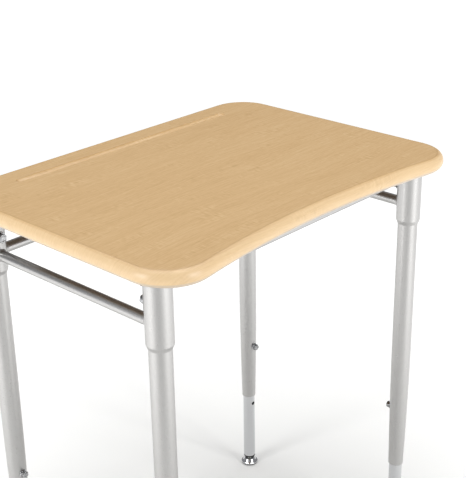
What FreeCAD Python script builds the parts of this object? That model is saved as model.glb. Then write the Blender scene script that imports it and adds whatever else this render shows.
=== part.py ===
import FreeCAD, Part
import math
import os
import Sketcher
from FreeCAD import Placement, Rotation, Vector

# Student desk: a moulded, film-wrapped top on a welded steel frame. Each of the four legs
# is screwed into a frame socket and carries a sliding insert that ends in a ball-jointed glide.
# X runs across the desk (+X is the user's right), +Y points away from the user, +Z is up.
# The origin is on the floor, under the middle of the top. Every length is in millimetres.

DIMENSIONS = {
    # moulded top
    "top_height": 737, "top_width": 630, "top_depth": 460, "top_thickness": 24,
    "front_hollow": 21, "corner_radius": 63.5, "edge_radius": 11.6,
    "film_thickness": 0.8, "backer_inset": 13, "backer_thickness": 0.8,
    # pencil groove, cut by a ball-nosed cutter
    "groove_length": 438, "groove_depth": 4, "groove_setback": 50, "cutter_radius": 10,
    # leg stations, measured between leg axes
    "leg_spread": 547.4, "leg_reach": 346.1, "leg_setback": 4.5,
    # frame sockets and rails; a drop is a distance below the top's upper face
    "socket_radius": 19.05, "socket_wall": 1.65, "socket_end_drop": 124.5,
    "swage_length": 6.5, "swage_radius": 16.8,
    "rail_radius": 8.1, "rail_wall": 1.5, "side_rail_drop": 92.5, "front_rail_drop": 41.5,
    "plate_size": 66, "plate_thickness": 3, "plate_corner": 12, "plate_shift": 11,
    "weld_leg": 2.9, "weld_lip": 0.2, "weld_overlap": 4,
    # leg tubes, tapered towards the floor
    "leg_radius": 15.875, "leg_wall": 1.5, "leg_top_drop": 32, "leg_end_drop": 580,
    "taper_length": 275, "leg_end_radius": 12.7, "leg_end_bore": 11.4,
    # sliding inserts
    "insert_radius": 11.1, "insert_wall": 1.5, "insert_foot": 20, "insert_top": 322,
    "hole_pitch": 25.4, "hole_count": 7, "lock_drop": 470,
    # screws and nuts that hold the legs, and screws that lock the inserts
    "upper_screw_drop": 39, "lower_screw_drop": 64.2,
    "leg_screw_radius": 3.97, "leg_screw_hole": 4.3, "leg_screw_length": 12.5,
    "leg_screw_head": 7.3, "leg_screw_head_length": 7, "leg_screw_flange": 8.8,
    "lock_screw_radius": 3.175, "lock_screw_hole": 3.5,
    "lock_screw_head": 5.8, "lock_screw_head_length": 5.6, "lock_screw_flange": 6.5,
    "flange_thickness": 1.8, "flange_draft": 1.2, "head_chamfer": 0.8, "lock_point_gap": 0.4,
    "nut_radius": 6.8, "nut_depth": 7, "thread_gap": 0.05, "running_gap": 0.1, "drill_overrun": 1,
    # pan-head screws into the top
    "wood_screw_radius": 2.4, "wood_screw_length": 17, "wood_screw_point": 3,
    "wood_head_radius": 4.6, "wood_head_height": 3, "wood_head_chamfer": 1,
    "screw_edge": 34, "screw_near": 13,
    # swivel glides
    "pad_radius": 15, "pad_thickness": 3, "pad_chamfer": 1, "cup_radius": 16,
    "cup_neck_radius": 8.5, "cup_rim": 2, "cup_top": 12,
    "ball_height": 8, "ball_radius": 5, "ball_clearance": 0.08, "throat_radius": 4.4,
    "stem_radius": 3.1, "stem_top": 40, "plug_top": 45, "plug_flange": 3,
}

CORNERS = {"front_left": (-1, -1), "front_right": (1, -1), "back_right": (1, 1), "back_left": (-1, 1)}
QUARTER_TURNS = {"front_left": 0, "front_right": 1, "back_right": 2, "back_left": 3}
INWARD = {-1: 0, 1: 180}        # turn that faces a front (-1) or back (1) leg towards the other one
LEVEL = 1e-6                    # an edge this flat, or less, lies in a level plane

doc = FreeCAD.newDocument("StudentDesk")
sheet = doc.addObject("Spreadsheet::Sheet", "Dims")
nodes = []


class Size:
    """A length known both as an expression of the sheet and as its present value."""

    def __init__(self, text, value):
        self.text = text
        self.value = value

    def _with(self, sign, other, result):
        return Size(f"({self.text} {sign} {as_size(other).text})", result)

    def __add__(self, other):
        return self._with("+", other, self.value + as_size(other).value)

    def __sub__(self, other):
        return self._with("-", other, self.value - as_size(other).value)

    def __mul__(self, other):
        return self._with("*", other, self.value * as_size(other).value)

    def __truediv__(self, other):
        return self._with("/", other, self.value / as_size(other).value)

    def __neg__(self):
        return self * -1


def as_size(number):
    return number if isinstance(number, Size) else Size(str(number), number)


class Dims:
    """Gives each cell of the sheet by its alias, as a Size."""

    def __getattr__(self, alias):
        return Size("Dims." + alias, DIMENSIONS[alias])


dim = Dims()
half_width = dim.top_width / 2
half_depth = dim.top_depth / 2
underside = dim.top_height - dim.top_thickness
plate_bottom = underside - dim.plate_thickness


def drop(distance):
    """Height of a point that lies the given distance below the top's upper face."""
    return dim.top_height - distance


def fill_sheet():
    for row, (alias, value) in enumerate(DIMENSIONS.items(), start=1):
        sheet.set(f"A{row}", alias)
        sheet.set(f"B{row}", str(value))
        sheet.setAlias(f"B{row}", alias)
    doc.recompute()


def bind(thing, **sizes):
    """Tie properties of a document object to the sheet."""
    for name, size in sizes.items():
        thing.setExpression(name, as_size(size).text)
    return thing


def place(thing, x=0, y=0, z=0, axis=(0, 0, 1), angle=0):
    """Tie an object's position to the sheet and turn it about an axis."""
    start = Vector(*[as_size(value).value for value in (x, y, z)])
    thing.Placement = Placement(start, Rotation(Vector(*axis), angle))
    for letter, value in (("x", x), ("y", y), ("z", z)):
        thing.setExpression("Placement.Base." + letter, as_size(value).text)
    return thing


def node(thing, label):
    """Name an object as one sub-part of the desk."""
    thing.Label = label
    nodes.append(thing)
    return thing


def leg_spot(corner):
    """X and Y of a leg's axis."""
    side, depth = CORNERS[corner]
    return dim.leg_spread * side / 2, dim.leg_reach * depth / 2 + dim.leg_setback


# ---------------------------------------------------------------- sketches and features

def sketch_on(body, role, name):
    plane = next(feature for feature in body.Origin.OriginFeatures if feature.Role == role)
    sketch = body.newObject("Sketcher::SketchObject", name)
    sketch.AttachmentSupport = (plane, [""])
    sketch.MapMode = "FlatFace"
    return sketch


def hold(sketch, kind, *where):
    """Add a dimension whose value, given last, follows the sheet."""
    size = as_size(where[-1])
    index = sketch.addConstraint(Sketcher.Constraint(kind, *where[:-1], size.value))
    sketch.setExpression(f"Constraints[{index}]", size.text)


def hold_point(sketch, geometry, position, x, y):
    """Fix a point by its distances from the sketch's origin; 0 puts it on the axis."""
    for kind, value, axis in (("DistanceX", x, -2), ("DistanceY", y, -1)):
        if isinstance(value, Size):
            hold(sketch, kind, -1, 1, geometry, position, value)
        else:
            sketch.addConstraint(Sketcher.Constraint("PointOnObject", geometry, position, axis))


def leaning_arc(upper, lower):
    """A shallow arc, upright at its upper end, that leans towards the Y axis at its lower end."""
    lean = upper.x - lower.x
    length = upper.y - lower.y
    radius = (length * length + lean * lean) / (2 * lean)
    centre = Vector(upper.x - radius, upper.y, 0)
    return Part.ArcOfCircle(Part.Circle(centre, Vector(0, 0, 1), radius), -math.asin(length / radius), 0)


def polygon(sketch, corners, arcs=()):
    """A closed outline. A side listed in arcs is a shallow arc, upright at its upper end."""
    points = [Vector(as_size(x).value, as_size(y).value, 0) for x, y in corners]
    count = len(points)
    ends = []
    for side, begin in enumerate(points):
        end = points[(side + 1) % count]
        falls = begin.y > end.y
        if side in arcs:
            sketch.addGeometry(leaning_arc(begin, end) if falls else leaning_arc(end, begin))
        else:
            sketch.addGeometry(Part.LineSegment(begin, end))
        ends.append((2, 1) if side in arcs and falls else (1, 2))
    for side in range(count):
        following = (side + 1) % count
        joint = points[following].y
        tangent = ((side in arcs and joint > points[side].y)
                   or (following in arcs and joint > points[(side + 2) % count].y))
        sketch.addConstraint(Sketcher.Constraint("Tangent" if tangent else "Coincident",
                                                 side, ends[side][1], following, ends[following][0]))
    for side, (x, y) in enumerate(corners):
        hold_point(sketch, side, ends[side][0], x, y)


def circle(sketch, x, y, radius):
    centre = Vector(as_size(x).value, as_size(y).value, 0)
    index = sketch.addGeometry(Part.Circle(centre, Vector(0, 0, 1), as_size(radius).value))
    hold(sketch, "Radius", index, radius)
    hold_point(sketch, index, 3, x, y)


def new_body(name):
    return doc.addObject("PartDesign::Body", name)


def revolve(body, corners, arcs=()):
    """Turn a half section, drawn on the XZ plane, about the body's upright axis."""
    sketch = sketch_on(body, "XZ_Plane", body.Name + "_section")
    polygon(sketch, corners, arcs)
    turned = body.newObject("PartDesign::Revolution", body.Name + "_revolution")
    turned.Profile = sketch
    turned.ReferenceAxis = (sketch, ["V_Axis"])
    turned.Angle = 360
    return body


def drill_wall(body, holes, outer_radius):
    """Drill a tube's +Y wall, from the axis outwards, with holes given as (height, radius)."""
    before = recomputed(body).Shape.Volume
    sketch = sketch_on(body, "XZ_Plane", body.Name + "_holes")
    for height, radius in holes:
        circle(sketch, 0, height, radius)
    pocket = body.newObject("PartDesign::Pocket", body.Name + "_drilling")
    pocket.Profile = sketch
    bind(pocket, Length=outer_radius + dim.drill_overrun)
    assert recomputed(body).Shape.Volume < before, body.Name + ": the drilling cuts nothing"
    return pocket


def recomputed(thing):
    doc.recompute()
    return thing


def cylinder(name, radius, height, **where):
    return place(bind(doc.addObject("Part::Cylinder", name), Radius=radius, Height=height), **where)


def cone(name, lower, upper, height, **where):
    shape = bind(doc.addObject("Part::Cone", name), Radius1=lower, Radius2=upper, Height=height)
    return place(shape, **where)


def sphere(name, radius, **where):
    return place(bind(doc.addObject("Part::Sphere", name), Radius=radius), **where)


def fuse(name, *shapes):
    fused = doc.addObject("Part::MultiFuse", name)
    fused.Shapes = list(shapes)
    return fused


def cut(name, base, *tools):
    result = doc.addObject("Part::Cut", name)
    result.Base = base
    result.Tool = tools[0] if len(tools) == 1 else fuse(name + "_tools", *tools)
    return result


def copies(label, *groups):
    """One sub-part made of separate solids: each group is a master and the spots of its copies."""
    links = []
    for master, spots in groups:
        for number, spot in enumerate(spots):
            link = doc.addObject("App::Link", f"{master.Name}_copy_{number}")
            link.LinkedObject = master
            links.append(place(link, **spot))
    compound = doc.addObject("Part::Compound", label)
    compound.Links = links
    return node(compound, label)


# ---------------------------------------------------------------- moulded top

def top_outline(sketch, inset):
    """Straight back and sides, round corners, and a front edge that curves in for the user."""
    width = half_width - inset
    depth = half_depth - inset
    corner = dim.corner_radius - inset
    hollow = depth - dim.front_hollow
    w, p, c, q = width.value, depth.value, corner.value, hollow.value
    # the hollow's circle touches both front corner circles and passes through the middle of the front
    rise = q - p + c
    span = w - c
    front_radius = (span * span + rise * rise - c * c) / (2 * (c - rise))
    centre_front = Vector(0, -q - front_radius, 0)
    right = Vector(span, -p + c, 0)
    touch = centre_front + (right - centre_front) * (front_radius / (front_radius + c))
    lean = math.atan2(touch.y - right.y, touch.x - right.x)
    swing = math.atan2(touch.y - centre_front.y, touch.x - centre_front.x)
    up = Vector(0, 0, 1)

    def arc(x, y, radius, first, last):
        return Part.ArcOfCircle(Part.Circle(Vector(x, y, 0), up, radius), first, last)

    curves = [
        Part.LineSegment(Vector(span, p, 0), Vector(-span, p, 0)),
        arc(-span, p - c, c, math.pi / 2, math.pi),
        Part.LineSegment(Vector(-w, p - c, 0), Vector(-w, -p + c, 0)),
        arc(-span, -p + c, c, math.pi, math.pi - lean),
        arc(0, centre_front.y, front_radius, swing, math.pi - swing),
        arc(span, -p + c, c, lean, 0),
        Part.LineSegment(Vector(w, -p + c, 0), Vector(w, p - c, 0)),
        arc(span, p - c, c, 0, math.pi / 2),
    ]
    back, back_left, left, front_left, front, front_right, right_side, back_right = range(8)
    sketch.addGeometry(curves)
    joints = [
        (back, 2, back_left, 1), (back_left, 2, left, 1), (left, 2, front_left, 1),
        (front_left, 2, front, 2), (front, 1, front_right, 1), (front_right, 2, right_side, 1),
        (right_side, 2, back_right, 1), (back_right, 2, back, 1),
    ]
    for joint in joints:
        sketch.addConstraint(Sketcher.Constraint("Tangent", *joint))
    for corner_arc in (back_left, front_left, front_right, back_right):
        hold(sketch, "Radius", corner_arc, corner)
    hold_point(sketch, back_right, 3, width - corner, depth - corner)
    hold_point(sketch, back_left, 3, -(width - corner), depth - corner)
    hold_point(sketch, front_right, 3, width - corner, -(depth - corner))
    hold_point(sketch, front_left, 3, -(width - corner), -(depth - corner))
    middle = sketch.addGeometry(Part.Point(Vector(0, -q, 0)), True)
    sketch.addConstraint(Sketcher.Constraint("PointOnObject", middle, 1, front))
    hold_point(sketch, middle, 1, 0, -hollow)


def top_slab(name, inset, bottom, height, rounding=None):
    """A slab of the top's outline, drawn in by inset, with its upper and lower edges rounded."""
    body = new_body(name)
    sketch = sketch_on(body, "XY_Plane", name + "_outline")
    top_outline(sketch, as_size(inset))
    pad = body.newObject("PartDesign::Pad", name + "_pad")
    pad.Profile = sketch
    bind(pad, Length=height)
    place(body, z=bottom)
    if rounding is not None:
        doc.recompute()
        level_edges = []
        for number, edge in enumerate(pad.Shape.Edges, start=1):
            if edge.BoundBox.ZLength < LEVEL:
                level_edges.append(f"Edge{number}")
        fillet = body.newObject("PartDesign::Fillet", name + "_rounding")
        fillet.Base = (pad, level_edges)
        bind(fillet, Radius=rounding)
    return body


def groove_cutter(name, radius):
    """The path of a ball-nosed cutter along the back of the top: a rod with round ends."""
    axis_height = dim.top_height - dim.groove_depth + dim.cutter_radius
    # the ball leaves the surface this far beyond its own centre
    ball_reach = math.sqrt(DIMENSIONS["groove_depth"]
                           * (2 * DIMENSIONS["cutter_radius"] - DIMENSIONS["groove_depth"]))
    travel = dim.groove_length / 2 - ball_reach
    y = half_depth - dim.groove_setback
    rod = cylinder(name + "_rod", radius, travel * 2, x=-travel, y=y, z=axis_height,
                   axis=(0, 1, 0), angle=90)
    ends = [sphere(f"{name}_{end}_ball", radius, x=travel * side, y=y, z=axis_height)
            for end, side in (("left", -1), ("right", 1))]
    return fuse(name, rod, *ends)


def make_top(wood_screw_spots):
    film = dim.film_thickness
    outer = cut("top_outer", top_slab("top_outer_slab", 0, underside, dim.top_thickness, dim.edge_radius),
                groove_cutter("film_groove", dim.cutter_radius))
    pilots = [cylinder(f"pilot_{number}", dim.wood_screw_radius, dim.wood_screw_length,
                       x=spot["x"], y=spot["y"], z=plate_bottom)
              for number, spot in enumerate(wood_screw_spots)]
    core_solid = cut("top_core_blank",
                     top_slab("top_core_slab", film, underside + film, dim.top_thickness - film * 2,
                              dim.edge_radius - film),
                     groove_cutter("core_groove", dim.cutter_radius + film))
    node(cut("top_core", core_solid, *pilots), "top_core")
    backer_slab = top_slab("backer_slab", dim.backer_inset, underside, dim.backer_thickness)
    node(cut("top_backer", backer_slab, *pilots), "top_backer")
    node(cut("top_film", outer, core_solid, backer_slab), "top_film")


# ---------------------------------------------------------------- welded frame

def leg_screw_holes():
    """The two clearance holes, one above the other, that a socket and its leg share."""
    return [(drop(distance), dim.leg_screw_hole)
            for distance in (dim.upper_screw_drop, dim.lower_screw_drop)]


def make_socket(corner):
    """Leg socket: a tube whose lower end is swaged in to grip the leg."""
    x, y = leg_spot(corner)
    outer = dim.socket_radius
    inner = outer - dim.socket_wall
    end = drop(dim.socket_end_drop)
    swage = end + dim.swage_length
    bore = dim.leg_radius + dim.running_gap
    body = revolve(new_body("socket_" + corner), [
        (inner, plate_bottom), (inner, swage), (bore, end), (dim.swage_radius, end),
        (outer, swage), (outer, plate_bottom)])
    drill_wall(body, leg_screw_holes(), outer)
    return node(place(body, x=x, y=y, angle=INWARD[CORNERS[corner][1]]), "socket_" + corner)


def make_rail(label, first, second, rail_drop):
    """A round rail between two sockets, its ends coped to the sockets' round walls."""
    x, y = leg_spot(first)
    across = CORNERS[first][1] == CORNERS[second][1]
    body = new_body(label + "_bar")
    sketch = sketch_on(body, "XY_Plane", label + "_ring")
    circle(sketch, 0, 0, dim.rail_radius)
    circle(sketch, 0, 0, dim.rail_radius - dim.rail_wall)
    pad = body.newObject("PartDesign::Pad", label + "_pad")
    pad.Profile = sketch
    bind(pad, Length=dim.leg_spread if across else dim.leg_reach)
    turn = {"axis": (0, 1, 0), "angle": 90} if across else {"axis": (1, 0, 0), "angle": -90}
    place(body, x=x, y=y, z=drop(rail_drop), **turn)
    cutters = []
    for corner in (first, second):
        cut_x, cut_y = leg_spot(corner)
        cutters.append(cylinder(f"{label}_cope_{corner}", dim.socket_radius, dim.top_height,
                                x=cut_x, y=cut_y))
    return node(cut(label, body, *cutters), label)


def make_plate(corner):
    """Mounting plate on top of a socket, with three screw holes on its inward sides."""
    label = "mounting_plate_" + corner
    x, y = leg_spot(corner)
    body = new_body(label)
    low = dim.plate_shift - dim.plate_size / 2
    high = dim.plate_shift + dim.plate_size / 2
    sketch = sketch_on(body, "XY_Plane", label + "_outline")
    polygon(sketch, [(low, low), (high, low), (high, high), (low, high)])
    pad = body.newObject("PartDesign::Pad", label + "_pad")
    pad.Profile = sketch
    bind(pad, Length=dim.plate_thickness)
    doc.recompute()
    upright = [f"Edge{number}" for number, edge in enumerate(pad.Shape.Edges, start=1)
               if edge.BoundBox.ZLength > LEVEL]
    fillet = body.newObject("PartDesign::Fillet", label + "_corners")
    fillet.Base = (pad, upright)
    bind(fillet, Radius=dim.plate_corner)
    before = recomputed(body).Shape.Volume
    holes = sketch_on(body, "XY_Plane", label + "_holes")
    for hole_x, hole_y in screw_offsets():
        circle(holes, hole_x, hole_y, dim.wood_screw_radius + dim.running_gap)
    pocket = body.newObject("PartDesign::Pocket", label + "_drilling")
    pocket.Profile = holes
    pocket.Type = "ThroughAll"
    pocket.Midplane = True
    assert recomputed(body).Shape.Volume < before, label + ": the drilling cuts nothing"
    return node(place(body, x=x, y=y, z=plate_bottom, angle=90 * QUARTER_TURNS[corner]), label)


def screw_offsets():
    """Wood screws from the leg axis, in a plate's own directions (both point into the desk)."""
    edge = dim.screw_edge
    near = dim.screw_near
    return [(edge, -near), (edge, edge), (-near, edge)]


def wood_screw_spots():
    spots = []
    for corner, turns in QUARTER_TURNS.items():
        x, y = leg_spot(corner)
        for along, across in screw_offsets():
            for _ in range(turns):
                along, across = -across, along
            spots.append({"x": x + along, "y": y + across, "z": plate_bottom})
    return spots


def make_wood_screws(spots):
    """Pan-head screws that hold the plates to the core, from below."""
    screw = revolve(new_body("wood_screw"), [
        (0, -dim.wood_head_height),
        (dim.wood_head_radius - dim.wood_head_chamfer, -dim.wood_head_height),
        (dim.wood_head_radius, dim.wood_head_chamfer - dim.wood_head_height),
        (dim.wood_head_radius, 0), (dim.wood_screw_radius, 0),
        (dim.wood_screw_radius, dim.wood_screw_length - dim.wood_screw_point),
        (0, dim.wood_screw_length)])
    copies("top_screws", (screw, spots))


RAILS = {
    "side_rail_left": ("front_left", "back_left", "side_rail_drop"),
    "side_rail_right": ("front_right", "back_right", "side_rail_drop"),
    "back_rail": ("back_left", "back_right", "side_rail_drop"),
    "front_rail": ("front_left", "front_right", "front_rail_drop"),
}


def make_welds():
    """Fillet welds round both ends of every rail and under every mounting plate."""
    start = dim.socket_radius - dim.weld_overlap
    reach = dim.weld_leg + dim.weld_overlap
    bead = cone("rail_bead", dim.rail_radius + dim.weld_leg, dim.rail_radius + dim.weld_lip, reach,
                x=start, axis=(0, 1, 0), angle=90)
    rail_weld = cut("rail_weld", bead,
                    cylinder("bead_rail", dim.rail_radius, start + reach, axis=(0, 1, 0), angle=90),
                    cylinder("bead_socket", dim.socket_radius, dim.socket_radius * 2,
                             z=-dim.socket_radius))
    plate_weld = cut("plate_weld",
                     cone("plate_bead", dim.socket_radius + dim.weld_lip,
                          dim.socket_radius + dim.weld_leg, dim.weld_leg, z=-dim.weld_leg),
                     cylinder("plate_bead_socket", dim.socket_radius, dim.weld_leg, z=-dim.weld_leg))
    rail_spots = []
    for first, second, drop_name in RAILS.values():
        for here, there in ((first, second), (second, first)):
            x, y = leg_spot(here)
            far_x, far_y = leg_spot(there)
            heading = math.degrees(math.atan2(far_y.value - y.value, far_x.value - x.value))
            rail_spots.append({"x": x, "y": y, "z": drop(getattr(dim, drop_name)), "angle": heading})
    plate_spots = []
    for corner in CORNERS:
        x, y = leg_spot(corner)
        plate_spots.append({"x": x, "y": y, "z": plate_bottom})
    copies("frame_welds", (rail_weld, rail_spots), (plate_weld, plate_spots))


# ---------------------------------------------------------------- legs

def make_leg(corner):
    """Leg tube: straight inside the socket, then tapered down to guide the insert."""
    x, y = leg_spot(corner)
    top = drop(dim.leg_top_drop)
    end = drop(dim.leg_end_drop)
    taper = end + dim.taper_length
    inner = dim.leg_radius - dim.leg_wall
    body = revolve(new_body("leg_tube_" + corner), [
        (inner, top), (inner, taper), (dim.leg_end_bore, end), (dim.leg_end_radius, end),
        (dim.leg_radius, taper), (dim.leg_radius, top)], arcs=(1, 3))
    drill_wall(body, leg_screw_holes() + [(drop(dim.lock_drop), dim.lock_screw_hole)], dim.leg_radius)
    return node(place(body, x=x, y=y, angle=INWARD[CORNERS[corner][1]]), "leg_tube_" + corner)


def make_insert(corner):
    """Sliding insert with a row of locking holes, one for each height of the desk."""
    x, y = leg_spot(corner)
    outer = dim.insert_radius
    inner = outer - dim.insert_wall
    body = revolve(new_body("leg_insert_" + corner), [
        (inner, dim.insert_foot), (outer, dim.insert_foot), (outer, dim.insert_top),
        (inner, dim.insert_top)])
    highest = drop(dim.lock_drop) + dim.hole_pitch
    pocket = drill_wall(body, [(highest, dim.lock_screw_hole)], outer)
    one_hole = body.Shape.Volume
    row = body.newObject("PartDesign::LinearPattern", "hole_row_" + corner)
    row.Originals = [pocket]
    row.Direction = (pocket.Profile[0], ["V_Axis"])
    row.Reversed = True
    bind(row, Length=dim.hole_pitch * (dim.hole_count - 1), Occurrences=dim.hole_count)
    body.Tip = row
    assert recomputed(body).Shape.Volume < one_hole, body.Name + ": the hole row cuts nothing"
    return node(place(body, x=x, y=y, angle=INWARD[CORNERS[corner][1]]), "leg_insert_" + corner)


def make_flanged_screw(kind, length):
    """Hexagon head with a pressed-on washer face; the shank runs down from z = 0."""
    head_radius = getattr(dim, kind + "_head")
    head_length = getattr(dim, kind + "_head_length")
    flange_radius = getattr(dim, kind + "_flange")
    prism = bind(doc.addObject("Part::Prism", kind + "_hexagon"),
                 Circumradius=head_radius, Height=head_length)
    prism.Polygon = 6
    place(prism, z=dim.flange_thickness)
    crown = cone(kind + "_crown", head_radius + head_length, head_radius - dim.head_chamfer,
                 head_length, z=dim.flange_thickness)
    crowned = doc.addObject("Part::MultiCommon", kind + "_crowned")
    crowned.Shapes = [prism, crown]
    flange = cone(kind + "_washer", flange_radius, flange_radius - dim.flange_draft, dim.flange_thickness)
    shank = cylinder(kind + "_shank", getattr(dim, kind + "_radius"), length, z=-length)
    return fuse(kind, crowned, flange, shank)


def facing_inward(corner, height, distance):
    """A spot on a leg's inward wall, with the copy's own Z axis pointing out of the wall."""
    x, y = leg_spot(corner)
    depth = CORNERS[corner][1]
    return {"x": x, "y": y - distance * depth, "z": height, "axis": (1, 0, 0), "angle": 90 * depth}


def make_leg_fasteners():
    """Two flanged screws and two weld nuts hold each leg in its socket; one screw locks its insert."""
    pairs = [(corner, drop(getattr(dim, name)))
             for corner in CORNERS for name in ("upper_screw_drop", "lower_screw_drop")]
    leg_screw = make_flanged_screw("leg_screw", dim.leg_screw_length)
    copies("leg_screws", (leg_screw, [facing_inward(corner, height, dim.socket_radius)
                                      for corner, height in pairs]))

    bore = dim.leg_radius - dim.leg_wall
    block = cylinder("nut_block", dim.nut_radius, dim.nut_depth, z=bore - dim.nut_depth)
    hole = cylinder("nut_hole", dim.leg_screw_radius + dim.thread_gap, dim.leg_radius * 2)
    leg_wall = cylinder("nut_limit", bore, dim.leg_radius * 2, y=dim.leg_radius,
                        axis=(1, 0, 0), angle=90)
    fitted = doc.addObject("Part::Common", "nut_fitted")
    fitted.Base = cut("nut_ring", block, hole)
    fitted.Tool = leg_wall
    copies("leg_nuts", (fitted, [facing_inward(corner, height, 0) for corner, height in pairs]))

    # the lock screw is drawn backed off, its point clear of the sliding insert
    fall = DIMENSIONS["lock_drop"] - (DIMENSIONS["leg_end_drop"] - DIMENSIONS["taper_length"])
    taper_depth = dim.leg_radius - dim.leg_end_radius
    share = (fall / DIMENSIONS["taper_length"]) ** 2
    seat = dim.leg_radius - taper_depth * share
    lock_screw = make_flanged_screw("lock_screw", seat - dim.insert_radius - dim.lock_point_gap)
    copies("lock_screws", (lock_screw, [facing_inward(corner, drop(dim.lock_drop), seat)
                                        for corner in CORNERS]))


def make_glide(corner):
    """Swivel glide: a plug in the insert holds a ball stem, and the cup and pad tilt on the ball."""
    x, y = leg_spot(corner)
    spot = {"x": x, "y": y}
    bore = dim.insert_radius - dim.insert_wall
    plug_foot = dim.insert_foot - dim.plug_flange

    def named(piece):
        return f"{piece}_{corner}"

    stem = fuse(named("glide_stem"),
                sphere(named("ball"), dim.ball_radius, z=dim.ball_height, **spot),
                cylinder(named("rod"), dim.stem_radius, dim.stem_top - dim.ball_height,
                         z=dim.ball_height, **spot))
    node(stem, named("glide_stem"))
    plug = cut(named("insert_plug"),
               fuse(named("plug_blank"),
                    cylinder(named("plug_body"), bore, dim.plug_top - plug_foot, z=plug_foot, **spot),
                    cylinder(named("plug_rim"), dim.insert_radius, dim.plug_flange, z=plug_foot, **spot)),
               cylinder(named("plug_bore"), dim.stem_radius, dim.stem_top - plug_foot,
                        z=plug_foot, **spot))
    node(plug, named("insert_plug"))
    rim_top = dim.pad_thickness + dim.cup_rim
    cup = cut(named("glide_cup"),
              fuse(named("cup_blank"),
                   cylinder(named("cup_rim"), dim.cup_radius, dim.cup_rim, z=dim.pad_thickness, **spot),
                   cone(named("cup_dome"), dim.cup_radius, dim.cup_neck_radius, dim.cup_top - rim_top,
                        z=rim_top, **spot)),
              sphere(named("cup_seat"), dim.ball_radius + dim.ball_clearance, z=dim.ball_height, **spot),
              cylinder(named("cup_throat"), dim.throat_radius, dim.cup_top, z=dim.ball_height, **spot))
    node(cup, named("glide_cup"))
    pad = cut(named("glide_pad"),
              fuse(named("pad_blank"),
                   cone(named("pad_sole"), dim.pad_radius - dim.pad_chamfer, dim.pad_radius,
                        dim.pad_chamfer, **spot),
                   cylinder(named("pad_body"), dim.pad_radius, dim.pad_thickness - dim.pad_chamfer,
                            z=dim.pad_chamfer, **spot)),
              sphere(named("pad_seat"), dim.ball_radius + dim.ball_clearance, z=dim.ball_height, **spot))
    node(pad, named("glide_pad"))


# ---------------------------------------------------------------- build, test and write

def build():
    fill_sheet()
    spots = wood_screw_spots()
    make_top(spots)
    for corner in CORNERS:
        make_socket(corner)
    for label, (first, second, drop_name) in RAILS.items():
        make_rail(label, first, second, getattr(dim, drop_name))
    for corner in CORNERS:
        make_plate(corner)
    make_wood_screws(spots)
    make_welds()
    for corner in CORNERS:
        make_leg(corner)
    make_leg_fasteners()
    for corner in CORNERS:
        make_insert(corner)
        make_glide(corner)
    doc.recompute()


def write_parts():
    for thing in doc.Objects:
        assert not {"Invalid", "Error"} & set(thing.State), f"{thing.Name}: {thing.State}"
    os.makedirs("parts", exist_ok=True)
    for thing in nodes:
        shape = thing.Shape
        assert not shape.isNull() and shape.isValid(), thing.Label + " has no valid shape"
        shape.exportStep(f"parts/{thing.Label}.step")
        print(f"{thing.Label}: {len(shape.Solids)} solid(s), {shape.Volume / 1000:.2f} cm3")
    print(len(nodes), "sub-parts")


build()
write_parts()
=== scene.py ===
# %% [markdown]
# # A student desk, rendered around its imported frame
# The desk has a moulded wood-grain top on a silver tube frame. Every part that carries load or
# moves comes ready-made from the CAD frame, at its real size and place. What is left for Blender is
# the looks: materials with real detail, and the small visible pieces whose detail the CAD leaves out.
# Lengths are in metres; a name that ends in _mm, and the profiles of turned shapes, are in mm.

# %% Load the frame
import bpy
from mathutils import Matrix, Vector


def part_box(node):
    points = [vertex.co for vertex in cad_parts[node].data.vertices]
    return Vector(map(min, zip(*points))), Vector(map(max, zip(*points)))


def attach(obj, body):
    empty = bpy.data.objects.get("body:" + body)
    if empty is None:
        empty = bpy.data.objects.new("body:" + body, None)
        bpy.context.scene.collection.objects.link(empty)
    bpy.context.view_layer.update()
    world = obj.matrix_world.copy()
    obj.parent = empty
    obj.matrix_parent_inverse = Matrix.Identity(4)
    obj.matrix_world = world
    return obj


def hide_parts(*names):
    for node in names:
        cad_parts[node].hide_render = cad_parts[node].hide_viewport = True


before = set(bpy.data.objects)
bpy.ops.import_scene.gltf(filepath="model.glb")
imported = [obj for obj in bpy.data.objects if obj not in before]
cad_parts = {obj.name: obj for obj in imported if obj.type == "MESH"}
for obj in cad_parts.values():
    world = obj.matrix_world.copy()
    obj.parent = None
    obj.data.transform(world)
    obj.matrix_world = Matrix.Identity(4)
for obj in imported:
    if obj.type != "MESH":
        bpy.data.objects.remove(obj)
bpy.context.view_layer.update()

import math
import bpy
from mathutils import Matrix, Vector

MM = 0.001
CORNERS = ("front_left", "front_right", "back_right", "back_left")

# %% [markdown]
# ## Small helpers
# Colours are written as hex values, as a paint chart gives them, and one function turns them to the
# linear values that shaders work in. A second function adds one node with its settings and links.

# %% Colour and node helpers
def linear(code):
    """'#D4B183' as the linear RGBA of a shader socket."""
    channels = [int(code[place:place + 2], 16) / 255 for place in (1, 3, 5)]
    return [c / 12.92 if c <= 0.04045 else ((c + 0.055) / 1.055) ** 2.4 for c in channels] + [1.0]


def add(tree, kind, inputs=None, **settings):
    """Add a node; inputs maps a socket's name or number to a value or to another node's output."""
    node = tree.nodes.new(kind)
    for name, value in settings.items():
        setattr(node, name, value)
    for socket, value in (inputs or {}).items():
        if isinstance(value, bpy.types.NodeSocket):
            tree.links.new(value, node.inputs[socket])
        else:
            node.inputs[socket].default_value = value
    return node


def start_material(name):
    """An empty material, its tree, and its Principled shader already joined to the output."""
    material = bpy.data.materials.new(name)
    material.use_nodes = True
    tree = material.node_tree
    tree.nodes.clear()
    shader = add(tree, "ShaderNodeBsdfPrincipled")
    add(tree, "ShaderNodeOutputMaterial", {"Surface": shader.outputs["BSDF"]})
    return material, tree, shader


print("a mid grey of #808080 is", round(linear("#808080")[0], 3), "in linear light")

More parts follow.
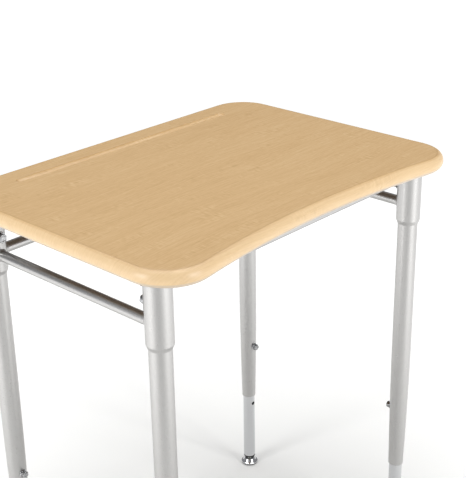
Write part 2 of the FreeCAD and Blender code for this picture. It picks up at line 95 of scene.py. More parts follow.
# %% [markdown]
# ## Camera
# The desk is seen from the user's left front corner, from a height of 1.3 m, through a long lens.
# A camera can be aimed with a Track To constraint, but a roll of one degree would then be lost, so it
# is turned by three angles: first the roll, then the tilt down, then the turn to the right.

# %% Camera
TOP_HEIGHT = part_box("top_film")[1].z
CAMERA_FROM_TOP = Vector((-1.1255, -1.0927, 0.5635))
LOOK_RIGHT = math.radians(46.975)
LOOK_DOWN = math.radians(23.317)
CAMERA_ROLL = math.radians(-0.937)
FOCAL_LENGTH_MM = 84.5

camera_data = bpy.data.cameras.new("camera")
camera_data.lens = FOCAL_LENGTH_MM
camera = bpy.data.objects.new("camera", camera_data)
bpy.context.scene.collection.objects.link(camera)
turn = (Matrix.Rotation(-LOOK_RIGHT, 4, "Z") @ Matrix.Rotation(math.pi / 2 - LOOK_DOWN, 4, "X")
        @ Matrix.Rotation(CAMERA_ROLL, 4, "Z"))
camera.matrix_world = Matrix.Translation(CAMERA_FROM_TOP + Vector((0, 0, TOP_HEIGHT))) @ turn
bpy.context.scene.camera = camera
print("camera at", [round(value, 3) for value in camera.location])

# %% [markdown]
# ## Studio
# A catalogue shot: white paper under the desk, a tall soft box either side of the camera, one
# overhead, and a dimmer room. A backdrop with a curved sweep would also do, but a large flat floor
# looks the same from above and hides no side of the desk.
#
# Upright tubes seen from above mirror the floor, so it is the floor that gives them two bright bands
# with a darker band between. The paper has a painted glow, an emission that is weak near the desk
# and grows further out, and a painted shade lane, a dim strip from the desk to the camera that stands
# in for the camera's dark stand, so the tubes show a painted dark reflection.

# %% Floor
# the floor's emission is painted light: a painted glow, weak near the desk and strong far out, with a
# painted shade lane towards the camera
SHADE_LANE_MIDDLE = (-0.45, -0.45, 0)
SHADE_LANE_WIDTH = 0.55  # as a share of its length
NEAR_GLOW = {"From Min": 1.0, "From Max": 2.2, "To Min": 0.05, "To Max": 0.54}
FAR_GLOW = {"From Min": 3.0, "From Max": 5.0, "To Min": 0.0, "To Max": 0.42}
FLOOR_SIZE = 40

bpy.ops.object.select_all(action="DESELECT")
bpy.ops.mesh.primitive_plane_add(size=FLOOR_SIZE, location=(0, 0, 0))
floor = bpy.context.object
floor.name = "floor"
paper, paper_tree, paper_shader = start_material("white paper sweep")
paper_shader.inputs["Base Color"].default_value = linear("#F0F0EE")
paper_shader.inputs["Roughness"].default_value = 0.9
paper_shader.inputs["Emission Color"].default_value = linear("#FFFFFF")
ground = add(paper_tree, "ShaderNodeTexCoord").outputs["Object"]
camera_heading = math.atan2(CAMERA_FROM_TOP.y, CAMERA_FROM_TOP.x)
# painted shade: a dim lane from the desk to the camera, which the tubes mirror as a painted dark
# reflection
lane = add(paper_tree, "ShaderNodeMapping", {"Vector": ground, "Location": SHADE_LANE_MIDDLE,
                                             "Rotation": (0, 0, camera_heading),
                                             "Scale": (1, SHADE_LANE_WIDTH, 1)}, vector_type="TEXTURE")
away = add(paper_tree, "ShaderNodeVectorMath", {0: lane.outputs[0]}, operation="LENGTH").outputs["Value"]
near_glow = add(paper_tree, "ShaderNodeMapRange", {"Value": away, **NEAR_GLOW})
far_glow = add(paper_tree, "ShaderNodeMapRange", {"Value": away, **FAR_GLOW})
glow = add(paper_tree, "ShaderNodeMath", {0: near_glow.outputs[0], 1: far_glow.outputs[0]},
           operation="ADD")
paper_tree.links.new(glow.outputs[0], paper_shader.inputs["Emission Strength"])
floor.data.materials.append(paper)
print("floor", FLOOR_SIZE, "m, dim lane heading", round(math.degrees(camera_heading), 1), "degrees")

# %% Soft boxes and room light
ROOM_LEVEL = 0.26
AIM = Vector((0, 0, TOP_HEIGHT * 0.8))
# degrees round from the camera; distance, height, width and length in metres; watts
SOFT_BOXES = {
    "left_box": (-55, 2.2, 1.2, 0.9, 1.7, 31.5),
    "right_box": (55, 2.2, 1.2, 0.9, 1.7, 31.5),
    "overhead_box": (180, 0.5, 2.7, 2.2, 2.2, 40),
}


def soft_box(name, degrees_from_camera, distance, height, width, length, power):
    """A rectangular soft box aimed at the desk, placed by its angle from the camera."""
    data = bpy.data.lights.new(name, "AREA")
    data.shape = "RECTANGLE"
    data.size = width
    data.size_y = length
    data.energy = power
    light = bpy.data.objects.new(name, data)
    heading = camera_heading + math.radians(degrees_from_camera)
    light.location = (distance * math.cos(heading), distance * math.sin(heading), height)
    light.rotation_euler = (light.location - AIM).to_track_quat("Z", "Y").to_euler()
    bpy.context.scene.collection.objects.link(light)


for name, sizes in SOFT_BOXES.items():
    soft_box(name, *sizes)
world = bpy.data.worlds.new("studio")
world.use_nodes = True
world.node_tree.nodes["Background"].inputs["Color"].default_value = linear("#FBFCFF")
world.node_tree.nodes["Background"].inputs["Strength"].default_value = ROOM_LEVEL
bpy.context.scene.world = world
bpy.context.scene.view_settings.view_transform = "Standard"
print("lights:", [item.name for item in bpy.data.lights])

# %% [markdown]
# ## Wood-grain film
# The top is fibreboard wrapped in a printed PVC film, heat-formed over its rounded edge and into the
# pencil groove. The print is a light maple: faint streaks along the desk, short dark pores, and
# patches of cross ripple where the figure catches the light.
#
# An unwrapped UV map would need seams where the film has none. Instead the Object coordinates are
# laid flat: they slide outwards as the surface goes down, so the print runs on over the edge.

# %% Coordinates that follow the film over the edge
top_low, top_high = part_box("top_film")
HALF_WIDTH = (top_high.x - top_low.x) / 2
HALF_DEPTH = (top_high.y - top_low.y) / 2


def film_coordinates(tree):
    """Object coordinates laid flat, and how far the surface has fallen below the top, in metres."""
    place = add(tree, "ShaderNodeTexCoord").outputs["Object"]
    height = add(tree, "ShaderNodeSeparateXYZ", {0: place}).outputs["Z"]
    fall = add(tree, "ShaderNodeMath", {0: TOP_HEIGHT, 1: height}, operation="SUBTRACT").outputs[0]
    outwards = add(tree, "ShaderNodeCombineXYZ")
    for axis, half_size in (("X", HALF_WIDTH), ("Y", HALF_DEPTH)):
        stretch = add(tree, "ShaderNodeMath", {0: fall, 1: 1 / half_size, 2: 1.0},
                      operation="MULTIPLY_ADD")
        tree.links.new(stretch.outputs[0], outwards.inputs[axis])
    flat = add(tree, "ShaderNodeVectorMath", {0: place, 1: outwards.outputs[0]}, operation="MULTIPLY")
    return flat.outputs[0], fall


print("film box", [round(2 * value, 4) for value in (HALF_WIDTH, HALF_DEPTH)])

# %% [markdown]
# ## The print's layers
# Printed wood is several rollers of ink over one another, so the pattern is a sum of noises, each
# stretched along the grain to its own real size. Real pores are finer than 1.1 mm across; they are
# drawn that coarse so that they show at this distance.

# %% One layer of the print
# each layer: length along the grain and width across it in mm, detail, weight, and where it starts
GROWTH_BANDS = (330, 26, 2.0, 0.26, 1)
STREAKS = (62, 2.6, 3.0, 0.62, 5)
PORES = (11, 1.1, 1.0, 0.42, 9)
RIPPLE = (4.6, 17, 1.5, 0.95, 13)
RIPPLE_PATCH = (75, 30, 2.0, 1.0, 17)
WANDER = (240, 80, 1.0, 0.03, 3)


def maple_print(tree, place, layer):
    """One layer of the print as a value around zero, already weighted."""
    length, width, detail, weight, start = layer
    sized = add(tree, "ShaderNodeMapping", {"Vector": place, "Location": (start, 1.7 * start, 0),
                                            "Scale": (1 / (length * MM), 1 / (width * MM), 1)})
    noise = add(tree, "ShaderNodeTexNoise", {"Vector": sized.outputs[0], "Scale": 1.0,
                                             "Detail": detail, "Roughness": 0.55})
    return add(tree, "ShaderNodeMath", {0: noise.outputs["Fac"], 1: weight, 2: -weight / 2},
               operation="MULTIPLY_ADD").outputs[0]


print("finest ink:", min(min(layer[:2]) for layer in (STREAKS, PORES, RIPPLE)), "mm")

# %% [markdown]
# ## Painted shade and sheen on the film's edge
# Three masks made from how far the surface has fallen change the print's colour: a thin dark line
# of painted shade along the turn of the top, a paler print over the edge that is partly the film's
# stretch and partly a painted sheen, and a grey lip of painted shade along the bottom of the edge.
# The masks mix one colour into the next, which is simpler to follow than painting them by hand.

# %% Ink colours, and the painted shade and sheen near the edge
DARK_GRAIN = "#B48F5C"
MID_GRAIN = "#CAA776"
PALE_GRAIN = "#D9BC90"
# painted shade: a thin dark line along the turn of the top, where the rim falls away from the light
SHADED_TURN_INK = "#A98553"
TURN_FALL = 0.2 * MM
TURN_END = 0.5 * MM
TURN_SHADE = 0.7
# partly the film's stretch and partly a painted sheen: the edge is printed paler and whiter
STRETCH_AND_SHEEN_INK = "#F1DAB6"
PALE_EDGE_FALL = 0.25 * MM
PALE_EDGE_END = 2.5 * MM
STRETCH_AND_SHEEN_PALENESS = 0.36
GROOVE_LINE = 180 * MM  # how far behind the desk's middle
GROOVE_ZONE = 15 * MM
GROOVE_REACH = 250 * MM
GROOVE_SHARE = 0.1  # of the paleness over the edge
# painted shade: a grey line along the bottom of the edge, where the rounded edge turns away from the light
SHADED_LIP_INK = "#AA9D90"
LIP_FALL = 15.8 * MM
LIP_END = 18 * MM


def painted_turn_shade(tree, fall):
    """Painted shade along the turn of the top: rises from the flat top to TURN_FALL and fades out by
    TURN_END.
    """
    turned = add(tree, "ShaderNodeMapRange", {"Value": fall, "From Max": TURN_FALL})
    faded = add(tree, "ShaderNodeMapRange", {"Value": fall, "From Min": TURN_FALL, "From Max": TURN_END,
                                             "To Min": TURN_SHADE, "To Max": 0.0})
    return add(tree, "ShaderNodeMath", {0: turned.outputs[0], 1: faded.outputs[0]},
               operation="MULTIPLY").outputs[0]


def stretch_and_sheen(tree, fall):
    """How much the print pales, from the film's stretch and a painted sheen: fully over the edge, and
    hardly at all in the shallow groove.
    """
    paler = add(tree, "ShaderNodeMapRange", {"Value": fall, "From Min": PALE_EDGE_FALL,
                                             "From Max": PALE_EDGE_END, "To Max": STRETCH_AND_SHEEN_PALENESS})
    place = add(tree, "ShaderNodeTexCoord").outputs["Object"]
    axes = add(tree, "ShaderNodeSeparateXYZ", {"Vector": place})
    near_line = add(tree, "ShaderNodeMath", {0: axes.outputs["Y"], 1: GROOVE_LINE, 2: GROOVE_ZONE},
                    operation="COMPARE")
    off_rim = add(tree, "ShaderNodeMath", {0: axes.outputs["X"], 1: 0.0, 2: GROOVE_REACH},
                  operation="COMPARE")
    in_groove = add(tree, "ShaderNodeMath", {0: near_line.outputs[0], 1: off_rim.outputs[0]},
                    operation="MULTIPLY")
    kept = add(tree, "ShaderNodeMapRange", {"Value": in_groove.outputs[0], "To Min": 1.0,
                                            "To Max": GROOVE_SHARE})
    return add(tree, "ShaderNodeMath", {0: paler.outputs[0], 1: kept.outputs[0]},
               operation="MULTIPLY").outputs[0]


print("film pales from", PALE_EDGE_FALL / MM, "to", PALE_EDGE_END / MM, "mm down")

# %% The whole film
INK_SPREAD = 0.36
PVC_IOR = 1.53
EMBOSS_DEPTH = 0.08 * MM
EMBOSS_STRENGTH = 0.3
RIPPLE_GATE = {"From Min": 0.02, "From Max": 0.2}
GRAIN_GLOSS = {"From Min": -0.3, "From Max": 0.3, "To Min": 0.4, "To Max": 0.28}


def make_maple():
    """Soft PVC film with a satin skin: the print shows through, and the surface is nearly smooth."""
    material, tree, shader = start_material("printed maple PVC film")
    place, fall = film_coordinates(tree)
    sideways = add(tree, "ShaderNodeCombineXYZ", {"Y": maple_print(tree, place, WANDER)})
    place = add(tree, "ShaderNodeVectorMath", {0: place, 1: sideways.outputs[0]},
                operation="ADD").outputs[0]

    # ripple shows only in patches; the other layers run all over
    patch = maple_print(tree, place, RIPPLE_PATCH)
    rippled = add(tree, "ShaderNodeMapRange", {"Value": patch, **RIPPLE_GATE})
    total = add(tree, "ShaderNodeMath", {0: maple_print(tree, place, RIPPLE), 1: rippled.outputs[0]},
                operation="MULTIPLY").outputs[0]
    for layer in (GROWTH_BANDS, STREAKS, PORES):
        total = add(tree, "ShaderNodeMath", {0: total, 1: maple_print(tree, place, layer)},
                    operation="ADD").outputs[0]
    depth = add(tree, "ShaderNodeMapRange", {"Value": total, "From Min": -INK_SPREAD,
                                             "From Max": INK_SPREAD})
    ramp = add(tree, "ShaderNodeValToRGB", {"Fac": depth.outputs[0]})
    ramp.color_ramp.elements[0].color = linear(DARK_GRAIN)
    ramp.color_ramp.elements[1].color = linear(PALE_GRAIN)
    ramp.color_ramp.elements.new(0.5).color = linear(MID_GRAIN)

    lip = add(tree, "ShaderNodeMapRange", {"Value": fall, "From Min": LIP_FALL, "From Max": LIP_END})
    colour = ramp.outputs["Color"]
    # the turn's dark line and the lip are painted shade; the paler edge is partly stretch and partly a
    # painted sheen
    for amount, ink in ((painted_turn_shade(tree, fall), SHADED_TURN_INK), (lip.outputs[0], SHADED_LIP_INK),
                        (stretch_and_sheen(tree, fall), STRETCH_AND_SHEEN_INK)):
        colour = add(tree, "ShaderNodeMix", {"Factor": amount, 6: colour, 7: linear(ink)},
                     data_type="RGBA").outputs[2]
    tree.links.new(colour, shader.inputs["Base Color"])

    # the embossing roller leaves the dark grain a little deeper and duller
    gloss = add(tree, "ShaderNodeMapRange", {"Value": total, **GRAIN_GLOSS})
    tree.links.new(gloss.outputs[0], shader.inputs["Roughness"])
    emboss = add(tree, "ShaderNodeBump", {"Height": total, "Strength": EMBOSS_STRENGTH,
                                          "Distance": EMBOSS_DEPTH})
    tree.links.new(emboss.outputs[0], shader.inputs["Normal"])
    shader.inputs["IOR"].default_value = PVC_IOR
    return material


maple = make_maple()
print("made", maple.name, "with", len(maple.node_tree.nodes), "nodes")

# %% [markdown]
# ## Metal skins
# The frame is sprayed with silver powder and baked: a metallic satin with a faint orange peel about
# 1.6 mm across. The glides are bright chrome, and the inserts are drawn tube, plated and a little
# softer. The screws are plated too, with soft darker patches in their colour that are painted dark
# reflections. The top's screws are zinc. All of them are one recipe, a metallic shader whose
# roughness and surface both follow one noise, because polish and dents come from the same peel. A
# metal keeps the usual IOR.

# %% Metals
PEEL_BUMP = 0.3
REFLECTION_PATCH_EDGE = {"From Min": 0.4, "From Max": 0.66}


def make_metal(name, colour, roughness, peel_mm, dent_mm, spread=0.08, painted_reflection=None, patch_mm=1):
    """A metal skin with a peel of peel_mm and dents of dent_mm. Where a painted_reflection colour is
    given, a darker colour painted in as dark reflections, it comes and goes in patches of about patch_mm."""
    material, tree, shader = start_material(name)
    place = add(tree, "ShaderNodeTexCoord").outputs["Object"]
    peel = add(tree, "ShaderNodeTexNoise", {"Vector": place, "Scale": 1 / (peel_mm * MM),
                                            "Detail": 3.0}).outputs["Fac"]
    gloss = add(tree, "ShaderNodeMapRange", {"Value": peel, "To Min": roughness - spread,
                                             "To Max": roughness + spread})
    dents = add(tree, "ShaderNodeBump", {"Height": peel, "Strength": PEEL_BUMP, "Distance": dent_mm * MM})
    tree.links.new(gloss.outputs[0], shader.inputs["Roughness"])
    tree.links.new(dents.outputs[0], shader.inputs["Normal"])
    shader.inputs["Base Color"].default_value = linear(colour)
    shader.inputs["Metallic"].default_value = 1.0
    # painted reflection: darker patches in the base colour stand in for dark reflections
    if painted_reflection:
        patches = add(tree, "ShaderNodeTexNoise", {"Vector": place, "Scale": 1 / (2 * patch_mm * MM),
                                                   "Detail": 1.0}).outputs["Fac"]
        edge = add(tree, "ShaderNodeMapRange", {"Value": patches, **REFLECTION_PATCH_EDGE})
        mixed = add(tree, "ShaderNodeMix", {"Factor": edge.outputs[0], 6: linear(colour),
                                            7: linear(painted_reflection)}, data_type="RGBA")
        tree.links.new(mixed.outputs[2], shader.inputs["Base Color"])
    return material


silver = make_metal("silver powder coat", "#BBBAB9", 0.3, 1.6, 0.05)
chrome = make_metal("bright chrome plate", "#E3E4E6", 0.1, 6, 0.01, spread=0.04)
tube_plate = make_metal("drawn and plated tube", "#CFD0D2", 0.2, 3, 0.02, spread=0.06)
# the darker patches on the screws are painted dark reflections
screw_plate = make_metal("bright plate with painted reflections", "#B9BABC", 0.16, 3, 0.03, spread=0.06,
                         painted_reflection="#8A8A8B", patch_mm=2.5)
zinc = make_metal("zinc plate", "#B9BAB4", 0.38, 2.5, 0.03)
print("made", [item.name for item in (silver, chrome, tube_plate, screw_plate, zinc)])

# %% [markdown]
# ## Boards and plastics
# The core is raw fibreboard, felted and quite dull. The underside is a brown phenolic sheet with a
# slight sheen; it also matters from above, because the rails' upper sides mirror it. The plugs are
# polyethylene and the pads nylon, both moulded with a fine spark-eroded grain. Each wavers between
# two near colours with its own grain size, as none of these is one flat colour.

# %% Matt materials
MATT_BUMP = 0.4
RAMP_ENDS = (0.3, 0.7)


def make_matt(name, dark, light, roughness, grain_mm, dent_mm):
    """A dull moulded or pressed surface that wavers between two near colours."""
    material, tree, shader = start_material(name)
    place = add(tree, "ShaderNodeTexCoord").outputs["Object"]
    grain = add(tree, "ShaderNodeTexNoise", {"Vector": place, "Scale": 1 / (grain_mm * MM),
                                             "Detail": 4.0}).outputs["Fac"]
    ramp = add(tree, "ShaderNodeValToRGB", {"Fac": grain})
    for stop, position, colour in zip(ramp.color_ramp.elements, RAMP_ENDS, (dark, light)):
        stop.position = position
        stop.color = linear(colour)
    dents = add(tree, "ShaderNodeBump", {"Height": grain, "Strength": MATT_BUMP, "Distance": dent_mm * MM})
    tree.links.new(ramp.outputs["Color"], shader.inputs["Base Color"])
    tree.links.new(dents.outputs[0], shader.inputs["Normal"])
    shader.inputs["Roughness"].default_value = roughness
    return material


board = make_matt("raw fibreboard", "#8F7049", "#A98A5E", 0.85, 1.2, 0.1)
backer = make_matt("brown phenolic backer", "#5A4836", "#6B5743", 0.55, 2.0, 0.03)
plug_plastic = make_matt("black moulded polyethylene", "#141414", "#1E1E1E", 0.5, 0.8, 0.03)
pad_nylon = make_matt("grey moulded nylon", "#4E4F4E", "#5C5D5B", 0.5, 0.8, 0.03)
print("made", [item.name for item in (board, backer, plug_plastic, pad_nylon)])

# %% [markdown]
# ## Dressing the CAD pieces
# The tubes, plates and top already have their true shape in the CAD, and modelling them again would
# only add errors. So each CAD piece keeps its mesh, and its material slots get one of the finishes
# above. Whatever isn't named here is part of the silver frame.

# %% Give every CAD piece its finish
FINISHES = {
    "top_film": maple, "top_core": board, "top_backer": backer, "top_screws": zinc, "leg_nuts": zinc,
    "leg_screws": chrome, "lock_screws": chrome, "leg_insert": tube_plate, "insert_plug": plug_plastic,
    "glide_stem": zinc, "glide_cup": chrome, "glide_pad": pad_nylon,
}


def finish_of(node_name):
    """The finish of a CAD piece, by the start of its name."""
    for prefix, material in FINISHES.items():
        if node_name.startswith(prefix):
            return material
    return silver


for name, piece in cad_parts.items():
    for slot in piece.material_slots:
        slot.material = finish_of(name)
print("dressed", len(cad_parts), "pieces")

# %% [markdown]
# ## Turned shapes
# Washers, shanks, pans, cups and pads are all round about one axis. A Spin of a profile would make
# them too, but it needs its seam merged and its ends filled. Extruding a ring of edges upwards and
# scaling it each time, as on a lathe, closes itself and keeps every ring where the profile says.

# %% Lathe helper
def pick(piece):
    """Make a piece the only one that the operators act on."""
    bpy.ops.object.select_all(action="DESELECT")
    piece.select_set(True)
    bpy.context.view_layer.objects.active = piece


def lathe(name, profile, sides=48, closed_loop=False):
    """A solid turned from (radius, height) points in mm; closed_loop joins the last ring to the first."""
    bpy.ops.object.select_all(action="DESELECT")
    radius, height = profile[0]
    bpy.ops.mesh.primitive_circle_add(vertices=sides, radius=radius * MM, location=(0, 0, height * MM))
    piece = bpy.context.object
    piece.name = name
    bpy.ops.object.transform_apply(location=True, rotation=True, scale=True)
    bpy.ops.object.mode_set(mode="EDIT")
    if not closed_loop:
        bpy.ops.mesh.edge_face_add()
        bpy.ops.mesh.select_all(action="SELECT")
    for next_radius, next_height in profile[1:]:
        rise = (next_height - height) * MM
        growth = next_radius / radius
        bpy.ops.mesh.extrude_region_move(TRANSFORM_OT_translate={"value": (0, 0, rise)})
        bpy.ops.transform.resize(value=(growth, growth, 1), center_override=(0, 0, next_height * MM))
        radius, height = next_radius, next_height
    if closed_loop:
        bpy.ops.object.mode_set(mode="OBJECT")
        for vertex in piece.data.vertices[:sides]:
            vertex.select = True
        bpy.ops.object.mode_set(mode="EDIT")
        bpy.ops.mesh.bridge_edge_loops()
    bpy.ops.mesh.select_all(action="SELECT")
    bpy.ops.mesh.normals_make_consistent(inside=False)
    bpy.ops.object.mode_set(mode="OBJECT")
    return piece


# %% [markdown]
# ## Joining, edges and copies
# No forged or pressed edge is razor sharp, and only a rounded edge catches the light, so each piece
# is bevelled a little. What repeats is modelled once, and every copy gets a mesh of its own with its
# place inside it, because the object itself has to stay at the origin.

# %% Finishing helpers
BEVEL_ABOVE = math.radians(35)
SMOOTH_BELOW = math.radians(40)


def join(name, *parts):
    """Several solids as one piece."""
    pick(parts[0])
    for part in parts[1:]:
        part.select_set(True)
    bpy.ops.object.join()
    parts[0].name = name
    return parts[0]


def round_edges(piece, width_mm):
    """Break the sharp edges with a bevel, and shade the rest smooth."""
    pick(piece)
    bevel = piece.modifiers.new("edges", "BEVEL")
    bevel.width = width_mm * MM
    bevel.segments = 2
    bevel.angle_limit = BEVEL_ABOVE
    bpy.ops.object.modifier_apply(modifier=bevel.name)
    bpy.ops.object.shade_smooth_by_angle(angle=SMOOTH_BELOW)
    return piece


def set_copy(master, name, place, body, node_name, material):
    """A copy of a master with its own mesh, put in place for good and riding on a body."""
    piece = master.copy()
    piece.data = master.data.copy()
    piece.name = name
    bpy.context.scene.collection.objects.link(piece)
    piece.matrix_world = place
    pick(piece)
    bpy.ops.object.transform_apply(location=True, rotation=True, scale=True)
    piece.data.materials.clear()
    piece.data.materials.append(material)
    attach(piece, body)
    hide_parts(node_name)
    return piece


def leg_axis(corner):
    """X and Y of a leg's axis, from the box of its insert, which is round about it."""
    low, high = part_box("leg_insert_" + corner)
    return (low.x + high.x) / 2, (low.y + high.y) / 2


print("leg axes:", [[round(value, 4) for value in leg_axis(corner)] for corner in CORNERS])

# %% [markdown]
# ## Screws on the legs
# Two large flanged screws hold each leg in its socket, and a smaller one locks the sliding insert.
# The real ones are cold-forged: a hexagon with rounded corners, a shallow dish in its end and a
# tapered washer face. A hexagon could be cut from a round bar by Booleans, but the lathe with only
# six sides makes it at once, dish and all. Each screw is modelled lying on z = 0, and every copy is
# then turned to face out of its tube wall.

# %% Flanged hexagon screws
LEG_FLANGE = 8.8
FLANGE_EDGE, FLANGE_TOP, FLANGE_TAPER = 0.5, 1.8, 1.2
HEXAGON_BASE, HEXAGON_CHAMFER = 0.9, 0.7
DISH_RIM, DISH_WALL, DISH_DEPTH = 2.2, 2.8, 0.7
THREAD_START, THREAD_PITCH, THREAD_DEPTH = 0.4, 1.3, 0.55
CREST, VALLEY, NEXT_CREST = 0.2, 0.75, 1.25


def make_hexagon_screw(name, head_radius, head_top, flange_radius, shank_radius, shank_length):
    """Sizes in mm; z = 0 is the tube's wall and the head stands on it."""
    hexagon = lathe(name + "_hexagon",
                    [(head_radius, HEXAGON_BASE), (head_radius, head_top - HEXAGON_CHAMFER),
                     (head_radius - HEXAGON_CHAMFER, head_top), (head_radius - DISH_RIM, head_top),
                     (head_radius - DISH_WALL, head_top - DISH_DEPTH)], sides=6)
    flange = lathe(name + "_flange",
                   [(flange_radius, 0), (flange_radius, FLANGE_EDGE),
                    (flange_radius - FLANGE_TAPER, FLANGE_TOP), (shank_radius, FLANGE_TOP)])
    thread_turns = int(shank_length / THREAD_PITCH)
    ridges = [(shank_radius, THREAD_START)]
    for number in range(thread_turns):
        root = -number * shank_length / thread_turns
        ridges += [(shank_radius, root - CREST), (shank_radius - THREAD_DEPTH, root - VALLEY),
                   (shank_radius, root - NEXT_CREST)]
    shank = lathe(name + "_shank", ridges, sides=24)
    return round_edges(join(name, hexagon, flange, shank), 0.35)


leg_screw = make_hexagon_screw("leg_screw", head_radius=7.3, head_top=8.8, flange_radius=LEG_FLANGE,
                               shank_radius=3.97, shank_length=12)
lock_screw = make_hexagon_screw("lock_screw", head_radius=5.8, head_top=7.4, flange_radius=6.5,
                                shank_radius=3.1, shank_length=3)
print("screw faces:", len(leg_screw.data.polygons), len(lock_screw.data.polygons))

# %% Set the leg screws and lock screws
SOCKET_RADIUS = 19.05 * MM
LOCK_SEAT = 14.73 * MM
screw_low, screw_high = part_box("leg_screws")
SCREW_HEIGHTS = {"upper": screw_high.z - LEG_FLANGE * MM, "lower": screw_low.z + LEG_FLANGE * MM}
lock_low, lock_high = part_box("lock_screws")
LOCK_HEIGHT = (lock_low.z + lock_high.z) / 2
# A screw stops wherever it is tight. In degrees: the first leg's angle, and the step from leg to leg.
DRIVEN = {"upper": (40, 31), "lower": (17, 31), "lock": (11, 37)}


def facing_inward(corner, height, distance, turn):
    """Front legs carry their screws on the wall that faces the back of the desk, and back legs on
    the wall that faces the user. The turn, in degrees, is how far the screw was driven."""
    x, y = leg_axis(corner)
    back = 1 if y > 0 else -1
    return (Matrix.Translation((x, y - back * distance, height))
            @ Matrix.Rotation(math.radians(90 * back), 4, "X")
            @ Matrix.Rotation(math.radians(turn), 4, "Z"))


for number, corner in enumerate(CORNERS):
    for level, height in SCREW_HEIGHTS.items():
        first, step = DRIVEN[level]
        place = facing_inward(corner, height, SOCKET_RADIUS, first + step * number)
        set_copy(leg_screw, f"leg_screw_{corner}_{level}", place, "desk",
                 "leg_screws", screw_plate)
    first, step = DRIVEN["lock"]
    place = facing_inward(corner, LOCK_HEIGHT, LOCK_SEAT, first + step * number)
    set_copy(lock_screw, f"lock_screw_{corner}", place, "desk",
             "lock_screws", screw_plate)
bpy.data.objects.remove(leg_screw)
bpy.data.objects.remove(lock_screw)
print("screw heights:", {level: round(height, 4) for level, height in SCREW_HEIGHTS.items()})

# %% [markdown]
# ## Screws under the top
# Three pan-head wood screws go up through each mounting plate into the board. On the real screw a
# punch presses a tapered cross into the turned pan. Here a Boolean modifier cuts it with two crossed
# blades, left straight because the taper is too small to see. Drawing the cross into the pan's own
# mesh would break up its round rings.

# %% Pan-head screw
PAN_PROFILE = [(4.6, 0), (4.6, -1.1), (4.35, -1.9), (3.7, -2.5), (2.6, -2.9), (1.2, -3.0)]
PAN_SHANK = [(2.4, -0.4), (2.4, 13.5), (0.4, 16.8)]
PAN_HEIGHT = 3
BLADE_SIZE = (4.4, 1.0, 3.2)


def make_pan_screw():
    """Points down: z = 0 is the plate's lower face, and the head hangs below it."""
    pan = lathe("pan_screw", PAN_PROFILE, sides=40)
    bpy.ops.object.select_all(action="DESELECT")
    bpy.ops.mesh.primitive_cube_add(size=1, location=(0, 0, 0))
    cross = bpy.context.object
    cross.scale = [side * MM for side in BLADE_SIZE]
    cross.location = (0, 0, -PAN_HEIGHT * MM)
    bpy.ops.object.transform_apply(location=True, rotation=True, scale=True)
    second = cross.copy()
    second.data = cross.data.copy()
    bpy.context.scene.collection.objects.link(second)
    second.matrix_world = Matrix.Rotation(math.pi / 2, 4, "Z")
    for blade in (cross, second):
        pick(blade)
        bpy.ops.object.transform_apply(location=True, rotation=True, scale=True)
        bpy.context.view_layer.objects.active = pan
        press = pan.modifiers.new("recess", "BOOLEAN")
        press.object = blade
        press.operation = "DIFFERENCE"
        bpy.ops.object.modifier_apply(modifier=press.name)
        bpy.data.objects.remove(blade)
    shank = lathe("pan_shank", PAN_SHANK, sides=24)
    return round_edges(join("pan_screw", pan, shank), 0.15)


pan_screw = make_pan_screw()
print("pan screw faces:", len(pan_screw.data.polygons))

# %% Set three screws in each mounting plate
SCREW_EDGE = 34 * MM
SCREW_NEAR = 13 * MM
PLATE_SCREWS = {"side": (SCREW_EDGE, -SCREW_NEAR), "corner": (SCREW_EDGE, SCREW_EDGE),
                "end": (-SCREW_NEAR, SCREW_EDGE)}
PLATE_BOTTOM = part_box("mounting_plate_front_left")[0].z
TURN_PER_SCREW = 29
TURN_PER_PLATE = 41

for number, corner in enumerate(CORNERS):
    x, y = leg_axis(corner)
    inward_x = 1 if x < 0 else -1
    inward_y = 1 if y < 0 else -1
    for step, (spot, (along, across)) in enumerate(PLATE_SCREWS.items()):
        turn = TURN_PER_SCREW * step + TURN_PER_PLATE * number
        place = (Matrix.Translation((x + along * inward_x, y + across * inward_y, PLATE_BOTTOM))
                 @ Matrix.Rotation(math.radians(turn), 4, "Z"))
        set_copy(pan_screw, f"top_screw_{corner}_{spot}", place, "desk", "top_screws", zinc)
bpy.data.objects.remove(pan_screw)
print("plate screws at height", round(PLATE_BOTTOM, 4))

# %% [markdown]
# ## Swivel glides
# The foot of each insert carries a pressed steel cup, its rim rolled under, that tilts on a ball and
# grips a nylon pad with grip rings on its sole. A cup could be a bent sheet with a Solidify modifier,
# but then its wall would be even all over. Turning the closed section gives the thicker rolled rim.

# %% Cup and pad
CUP_PROFILE = [(15.2, 3.0), (15.8, 3.25), (16.0, 3.9), (15.8, 4.7), (15.1, 5.1), (14.0, 5.4), (12.6, 6.5),
               (11.2, 8.6), (10.0, 10.7), (9.2, 11.7), (8.3, 12.0), (6.4, 12.0), (5.2, 11.8), (4.6, 11.2),
               (4.6, 9.6), (5.2, 7.6), (5.1, 5.4), (8.0, 4.2), (14.2, 3.0)]
PAD_PROFILE = [(0.8, 0.6), (4.0, 0.6), (4.4, 0.1), (7.2, 0.1), (7.6, 0.6), (9.2, 0.6), (9.6, 0.0),
               (13.6, 0.0), (14.6, 0.4), (15.0, 1.1), (15.0, 2.6), (14.7, 3.0), (4.6, 3.0), (1.0, 3.0)]
glide_cup = round_edges(lathe("glide_cup", CUP_PROFILE, sides=64, closed_loop=True), 0.1)
glide_pad = round_edges(lathe("glide_pad", PAD_PROFILE, sides=64), 0.1)
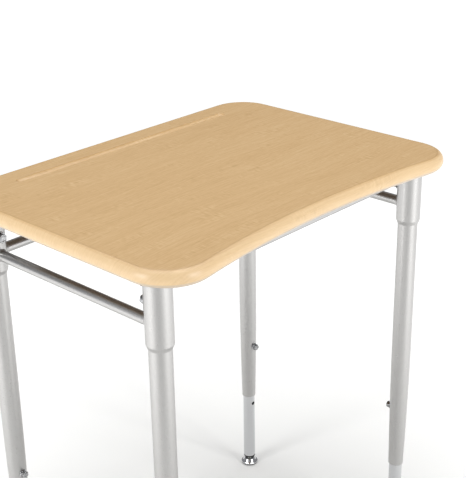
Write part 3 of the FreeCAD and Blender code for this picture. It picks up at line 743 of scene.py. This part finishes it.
for corner in CORNERS:
    x, y = leg_axis(corner)
    here = Matrix.Translation((x, y, 0))
    body = "glide_" + corner
    set_copy(glide_cup, "cup_" + corner, here, body, "glide_cup_" + corner, chrome)
    set_copy(glide_pad, "pad_" + corner, here, body, "glide_pad_" + corner, pad_nylon)
bpy.data.objects.remove(glide_cup)
bpy.data.objects.remove(glide_pad)
print("glides set:", len(CORNERS))

# %% [markdown]
# ## Welds
# The rails are MIG-welded to the sockets before coating, so each bead is a lumpy ring under the same
# silver skin. A bump in the material could fake the lumps, but their outline would stay smooth. The
# CAD beads have the right place and section, so a merged copy of them is remeshed finely and
# displaced by a cloud pattern about as coarse as weld ripples.

# %% Weld beads
RIPPLE_SIZE = 2.6 * MM
RIPPLE_HEIGHT = 0.45 * MM
BEAD_VOXEL = 0.55 * MM
MERGE_WITHIN = 0.01 * MM
bead_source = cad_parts["frame_welds"]
welds = bead_source.copy()
welds.data = bead_source.data.copy()
welds.name = "weld_beads"
welds.parent = None
bpy.context.scene.collection.objects.link(welds)
pick(welds)
bpy.ops.object.mode_set(mode="EDIT")
bpy.ops.mesh.select_all(action="SELECT")
bpy.ops.mesh.remove_doubles(threshold=MERGE_WITHIN)
bpy.ops.object.mode_set(mode="OBJECT")
remesh = welds.modifiers.new("remesh", "REMESH")
remesh.mode = "VOXEL"
remesh.voxel_size = BEAD_VOXEL
clouds = bpy.data.textures.new("weld ripple", "CLOUDS")
clouds.noise_scale = RIPPLE_SIZE
ripple = welds.modifiers.new("ripple", "DISPLACE")
ripple.texture = clouds
ripple.texture_coords = "LOCAL"
ripple.strength = RIPPLE_HEIGHT
ripple.mid_level = 0.5
for modifier in (remesh.name, ripple.name):
    bpy.ops.object.modifier_apply(modifier=modifier)
bpy.ops.object.shade_smooth()
welds.data.materials.clear()
welds.data.materials.append(silver)
# The copy also took the CAD piece's labels, which would pass it off as that piece.
for key in list(welds.keys()):
    del welds[key]
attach(welds, "desk")
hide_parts("frame_welds")
print("weld bead triangles:", sum(len(face.vertices) - 2 for face in welds.data.polygons))
